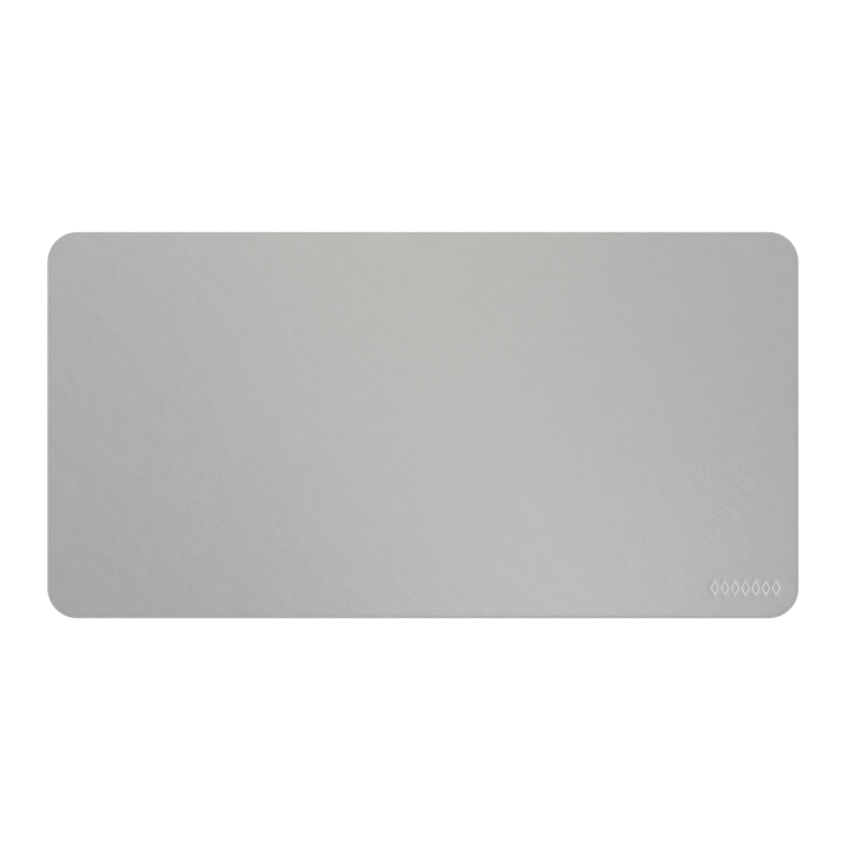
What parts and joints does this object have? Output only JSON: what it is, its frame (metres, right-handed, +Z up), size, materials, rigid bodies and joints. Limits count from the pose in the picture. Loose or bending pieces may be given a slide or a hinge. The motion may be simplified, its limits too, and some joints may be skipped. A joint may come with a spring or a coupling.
{
  "type": "desk mat",
  "caption": "Large rectangular desk mat with rounded corners: grey leather-look face, pressed border line, small lozenge ornament, painted edge and suede underside.",
  "frame": {"origin": "middle of the underside, on the desk", "axes": "+X along the mat's length, towards the end with the ornament; +Y away from the person at the desk; +Z up from the desk"},
  "size_m": [0.889, 0.4572, 0.0026],
  "materials": {
    "pu_face": "satin, fine pressed grain",
    "backing_cloth": "plain woven, bonded to the skin",
    "glue_film": "clear hot-melt film",
    "core": "closed-cell flexible sheet",
    "suede": "brushed microfibre",
    "edge_paint": "satin"
  },
  "bodies": {
    "root": {"face_skin": "pu_face", "backing_cloth": "backing_cloth", "upper_glue_film": "glue_film", "core_sheet": "core", "lower_glue_film": "glue_film", "base_suede": "suede", "edge_paint": "edge_paint"}
  },
  "joints": []
}
